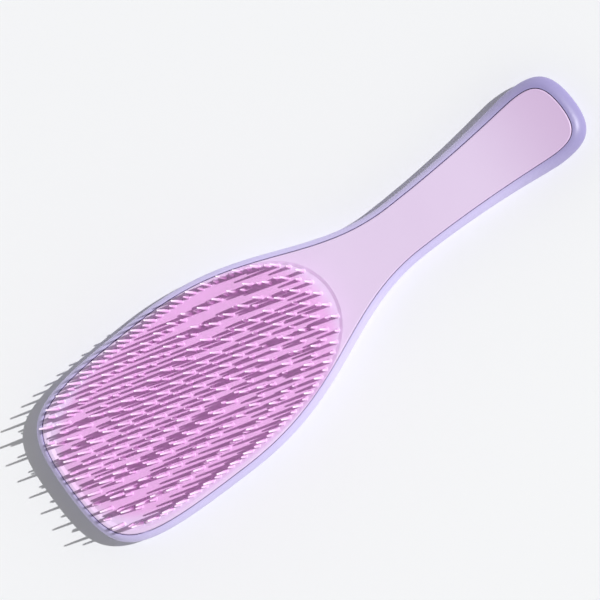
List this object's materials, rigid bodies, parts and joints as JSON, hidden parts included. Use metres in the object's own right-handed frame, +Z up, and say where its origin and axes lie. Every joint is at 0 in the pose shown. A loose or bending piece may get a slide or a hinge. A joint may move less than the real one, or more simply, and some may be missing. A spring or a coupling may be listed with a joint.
{
  "type": "detangling hair brush",
  "caption": "Paddle-shaped detangling hair brush: hollow back shell with handle, snap-in face plate, and long and short flexible teeth standing in rows.",
  "frame": {"origin": "centre of the bounding box, on the flat of the back", "axes": "+X from the head towards the handle end, +Y across the brush, +Z up out of the face, along the teeth"},
  "size_m": [0.225, 0.0682, 0.0233],
  "materials": {
    "shell": "satin moulded, periwinkle",
    "face": "satin moulded, pink lilac",
    "teeth": "soft moulded, pink lilac"
  },
  "bodies": {
    "brush_body": {"back_shell": "shell", "face_plate": "face"},
    "long_teeth_row_01": {"long_teeth_row_01": "teeth"},
    "long_teeth_row_02": {"long_teeth_row_02": "teeth"},
    "long_teeth_row_03": {"long_teeth_row_03": "teeth"},
    "long_teeth_row_04": {"long_teeth_row_04": "teeth"},
    "long_teeth_row_05": {"long_teeth_row_05": "teeth"},
    "long_teeth_row_06": {"long_teeth_row_06": "teeth"},
    "long_teeth_row_07": {"long_teeth_row_07": "teeth"},
    "long_teeth_row_08": {"long_teeth_row_08": "teeth"},
    "long_teeth_row_09": {"long_teeth_row_09": "teeth"},
    "long_teeth_row_10": {"long_teeth_row_10": "teeth"},
    "long_teeth_row_11": {"long_teeth_row_11": "teeth"},
    "long_teeth_row_12": {"long_teeth_row_12": "teeth"},
    "long_teeth_row_13": {"long_teeth_row_13": "teeth"},
    "long_teeth_row_14": {"long_teeth_row_14": "teeth"},
    "long_teeth_row_15": {"long_teeth_row_15": "teeth"},
    "long_teeth_row_16": {"long_teeth_row_16": "teeth"},
    "long_teeth_row_17": {"long_teeth_row_17": "teeth"},
    "long_teeth_row_18": {"long_teeth_row_18": "teeth"},
    "long_teeth_row_19": {"long_teeth_row_19": "teeth"},
    "short_teeth_row_01": {"short_teeth_row_01": "teeth"},
    "short_teeth_row_02": {"short_teeth_row_02": "teeth"},
    "short_teeth_row_03": {"short_teeth_row_03": "teeth"},
    "short_teeth_row_04": {"short_teeth_row_04": "teeth"},
    "short_teeth_row_05": {"short_teeth_row_05": "teeth"},
    "short_teeth_row_06": {"short_teeth_row_06": "teeth"},
    "short_teeth_row_07": {"short_teeth_row_07": "teeth"},
    "short_teeth_row_08": {"short_teeth_row_08": "teeth"},
    "short_teeth_row_09": {"short_teeth_row_09": "teeth"},
    "short_teeth_row_10": {"short_teeth_row_10": "teeth"},
    "short_teeth_row_11": {"short_teeth_row_11": "teeth"},
    "short_teeth_row_12": {"short_teeth_row_12": "teeth"},
    "short_teeth_row_13": {"short_teeth_row_13": "teeth"},
    "short_teeth_row_14": {"short_teeth_row_14": "teeth"},
    "short_teeth_row_15": {"short_teeth_row_15": "teeth"},
    "short_teeth_row_16": {"short_teeth_row_16": "teeth"},
    "short_teeth_row_17": {"short_teeth_row_17": "teeth"},
    "short_teeth_row_18": {"short_teeth_row_18": "teeth"},
    "short_teeth_row_19": {"short_teeth_row_19": "teeth"}
  },
  "joints": [
    {"name": "long_teeth_row_01_flex", "type": "hinge", "parent": "brush_body", "child": "long_teeth_row_01", "pos_m": [-0.10185, 0, 0.00907], "axis": [0, 1, 0], "range_deg": [-18, 18], "stiffness_Nm_per_rad": 0.0175},
    {"name": "long_teeth_row_02_flex", "type": "hinge", "parent": "brush_body", "child": "long_teeth_row_02", "pos_m": [-0.09601, 0, 0.00907], "axis": [0, 1, 0], "range_deg": [-18, 18], "stiffness_Nm_per_rad": 0.0225},
    {"name": "long_teeth_row_03_flex", "type": "hinge", "parent": "brush_body", "child": "long_teeth_row_03", "pos_m": [-0.09017, 0, 0.00907], "axis": [0, 1, 0], "range_deg": [-18, 18], "stiffness_Nm_per_rad": 0.0225},
    {"name": "long_teeth_row_04_flex", "type": "hinge", "parent": "brush_body", "child": "long_teeth_row_04", "pos_m": [-0.08433, 0, 0.00907], "axis": [0, 1, 0], "range_deg": [-18, 18], "stiffness_Nm_per_rad": 0.0225},
    {"name": "long_teeth_row_05_flex", "type": "hinge", "parent": "brush_body", "child": "long_teeth_row_05", "pos_m": [-0.07849, 0, 0.00907], "axis": [0, 1, 0], "range_deg": [-18, 18], "stiffness_Nm_per_rad": 0.0275},
    {"name": "long_teeth_row_06_flex", "type": "hinge", "parent": "brush_body", "child": "long_teeth_row_06", "pos_m": [-0.07265, 0, 0.00907], "axis": [0, 1, 0], "range_deg": [-18, 18], "stiffness_Nm_per_rad": 0.0275},
    {"name": "long_teeth_row_07_flex", "type": "hinge", "parent": "brush_body", "child": "long_teeth_row_07", "pos_m": [-0.06681, 0, 0.00907], "axis": [0, 1, 0], "range_deg": [-18, 18], "stiffness_Nm_per_rad": 0.0275},
    {"name": "long_teeth_row_08_flex", "type": "hinge", "parent": "brush_body", "child": "long_teeth_row_08", "pos_m": [-0.06097, 0, 0.00907], "axis": [0, 1, 0], "range_deg": [-18, 18], "stiffness_Nm_per_rad": 0.0275},
    {"name": "long_teeth_row_09_flex", "type": "hinge", "parent": "brush_body", "child": "long_teeth_row_09", "pos_m": [-0.05513, 0, 0.00907], "axis": [0, 1, 0], "range_deg": [-18, 18], "stiffness_Nm_per_rad": 0.0275},
    {"name": "long_teeth_row_10_flex", "type": "hinge", "parent": "brush_body", "child": "long_teeth_row_10", "pos_m": [-0.04929, 0, 0.00907], "axis": [0, 1, 0], "range_deg": [-18, 18], "stiffness_Nm_per_rad": 0.0275},
    {"name": "long_teeth_row_11_flex", "type": "hinge", "parent": "brush_body", "child": "long_teeth_row_11", "pos_m": [-0.04345, 0, 0.00907], "axis": [0, 1, 0], "range_deg": [-18, 18], "stiffness_Nm_per_rad": 0.0275},
    {"name": "long_teeth_row_12_flex", "type": "hinge", "parent": "brush_body", "child": "long_teeth_row_12", "pos_m": [-0.03761, 0, 0.00907], "axis": [0, 1, 0], "range_deg": [-18, 18], "stiffness_Nm_per_rad": 0.0275},
    {"name": "long_teeth_row_13_flex", "type": "hinge", "parent": "brush_body", "child": "long_teeth_row_13", "pos_m": [-0.03177, 0, 0.00907], "axis": [0, 1, 0], "range_deg": [-18, 18], "stiffness_Nm_per_rad": 0.0225},
    {"name": "long_teeth_row_14_flex", "type": "hinge", "parent": "brush_body", "child": "long_teeth_row_14", "pos_m": [-0.02593, 0, 0.00907], "axis": [0, 1, 0], "range_deg": [-18, 18], "stiffness_Nm_per_rad": 0.0225},
    {"name": "long_teeth_row_15_flex", "type": "hinge", "parent": "brush_body", "child": "long_teeth_row_15", "pos_m": [-0.02009, 0, 0.00907], "axis": [0, 1, 0], "range_deg": [-18, 18], "stiffness_Nm_per_rad": 0.0225},
    {"name": "long_teeth_row_16_flex", "type": "hinge", "parent": "brush_body", "child": "long_teeth_row_16", "pos_m": [-0.01425, 0, 0.00907], "axis": [0, 1, 0], "range_deg": [-18, 18], "stiffness_Nm_per_rad": 0.0225},
    {"name": "long_teeth_row_17_flex", "type": "hinge", "parent": "brush_body", "child": "long_teeth_row_17", "pos_m": [-0.00841, 0, 0.00907], "axis": [0, 1, 0], "range_deg": [-18, 18], "stiffness_Nm_per_rad": 0.0175},
    {"name": "long_teeth_row_18_flex", "type": "hinge", "parent": "brush_body", "child": "long_teeth_row_18", "pos_m": [-0.00257, 0, 0.00907], "axis": [0, 1, 0], "range_deg": [-18, 18], "stiffness_Nm_per_rad": 0.0175},
    {"name": "long_teeth_row_19_flex", "type": "hinge", "parent": "brush_body", "child": "long_teeth_row_19", "pos_m": [0.00327, 0, 0.00907], "axis": [0, 1, 0], "range_deg": [-18, 18], "stiffness_Nm_per_rad": 0.0125},
    {"name": "short_teeth_row_01_flex", "type": "hinge", "parent": "brush_body", "child": "short_teeth_row_01", "pos_m": [-0.10477, 0, 0.00907], "axis": [0, 1, 0], "range_deg": [-15, 15], "stiffness_Nm_per_rad": 0.024},
    {"name": "short_teeth_row_02_flex", "type": "hinge", "parent": "brush_body", "child": "short_teeth_row_02", "pos_m": [-0.09893, 0, 0.00907], "axis": [0, 1, 0], "range_deg": [-15, 15], "stiffness_Nm_per_rad": 0.032},
    {"name": "short_teeth_row_03_flex", "type": "hinge", "parent": "brush_body", "child": "short_teeth_row_03", "pos_m": [-0.09309, 0, 0.00907], "axis": [0, 1, 0], "range_deg": [-15, 15], "stiffness_Nm_per_rad": 0.04},
    {"name": "short_teeth_row_04_flex", "type": "hinge", "parent": "brush_body", "child": "short_teeth_row_04", "pos_m": [-0.08725, 0, 0.00907], "axis": [0, 1, 0], "range_deg": [-15, 15], "stiffness_Nm_per_rad": 0.04},
    {"name": "short_teeth_row_05_flex", "type": "hinge", "parent": "brush_body", "child": "short_teeth_row_05", "pos_m": [-0.08141, 0, 0.00907], "axis": [0, 1, 0], "range_deg": [-15, 15], "stiffness_Nm_per_rad": 0.04},
    {"name": "short_teeth_row_06_flex", "type": "hinge", "parent": "brush_body", "child": "short_teeth_row_06", "pos_m": [-0.07557, 0, 0.00907], "axis": [0, 1, 0], "range_deg": [-15, 15], "stiffness_Nm_per_rad": 0.04},
    {"name": "short_teeth_row_07_flex", "type": "hinge", "parent": "brush_body", "child": "short_teeth_row_07", "pos_m": [-0.06973, 0, 0.00907], "axis": [0, 1, 0], "range_deg": [-15, 15], "stiffness_Nm_per_rad": 0.04},
    {"name": "short_teeth_row_08_flex", "type": "hinge", "parent": "brush_body", "child": "short_teeth_row_08", "pos_m": [-0.06389, 0, 0.00907], "axis": [0, 1, 0], "range_deg": [-15, 15], "stiffness_Nm_per_rad": 0.04},
    {"name": "short_teeth_row_09_flex", "type": "hinge", "parent": "brush_body", "child": "short_teeth_row_09", "pos_m": [-0.05805, 0, 0.00907], "axis": [0, 1, 0], "range_deg": [-15, 15], "stiffness_Nm_per_rad": 0.04},
    {"name": "short_teeth_row_10_flex", "type": "hinge", "parent": "brush_body", "child": "short_teeth_row_10", "pos_m": [-0.05221, 0, 0.00907], "axis": [0, 1, 0], "range_deg": [-15, 15], "stiffness_Nm_per_rad": 0.04},
    {"name": "short_teeth_row_11_flex", "type": "hinge", "parent": "brush_body", "child": "short_teeth_row_11", "pos_m": [-0.04637, 0, 0.00907], "axis": [0, 1, 0], "range_deg": [-15, 15], "stiffness_Nm_per_rad": 0.04},
    {"name": "short_teeth_row_12_flex", "type": "hinge", "parent": "brush_body", "child": "short_teeth_row_12", "pos_m": [-0.04053, 0, 0.00907], "axis": [0, 1, 0], "range_deg": [-15, 15], "stiffness_Nm_per_rad": 0.04},
    {"name": "short_teeth_row_13_flex", "type": "hinge", "parent": "brush_body", "child": "short_teeth_row_13", "pos_m": [-0.03469, 0, 0.00907], "axis": [0, 1, 0], "range_deg": [-15, 15], "stiffness_Nm_per_rad": 0.04},
    {"name": "short_teeth_row_14_flex", "type": "hinge", "parent": "brush_body", "child": "short_teeth_row_14", "pos_m": [-0.02885, 0, 0.00907], "axis": [0, 1, 0], "range_deg": [-15, 15], "stiffness_Nm_per_rad": 0.04},
    {"name": "short_teeth_row_15_flex", "type": "hinge", "parent": "brush_body", "child": "short_teeth_row_15", "pos_m": [-0.02301, 0, 0.00907], "axis": [0, 1, 0], "range_deg": [-15, 15], "stiffness_Nm_per_rad": 0.04},
    {"name": "short_teeth_row_16_flex", "type": "hinge", "parent": "brush_body", "child": "short_teeth_row_16", "pos_m": [-0.01717, 0, 0.00907], "axis": [0, 1, 0], "range_deg": [-15, 15], "stiffness_Nm_per_rad": 0.032},
    {"name": "short_teeth_row_17_flex", "type": "hinge", "parent": "brush_body", "child": "short_teeth_row_17", "pos_m": [-0.01133, 0, 0.00907], "axis": [0, 1, 0], "range_deg": [-15, 15], "stiffness_Nm_per_rad": 0.032},
    {"name": "short_teeth_row_18_flex", "type": "hinge", "parent": "brush_body", "child": "short_teeth_row_18", "pos_m": [-0.00549, 0, 0.00907], "axis": [0, 1, 0], "range_deg": [-15, 15], "stiffness_Nm_per_rad": 0.032},
    {"name": "short_teeth_row_19_flex", "type": "hinge", "parent": "brush_body", "child": "short_teeth_row_19", "pos_m": [0.00035, 0, 0.00907], "axis": [0, 1, 0], "range_deg": [-15, 15], "stiffness_Nm_per_rad": 0.024}
  ]
}
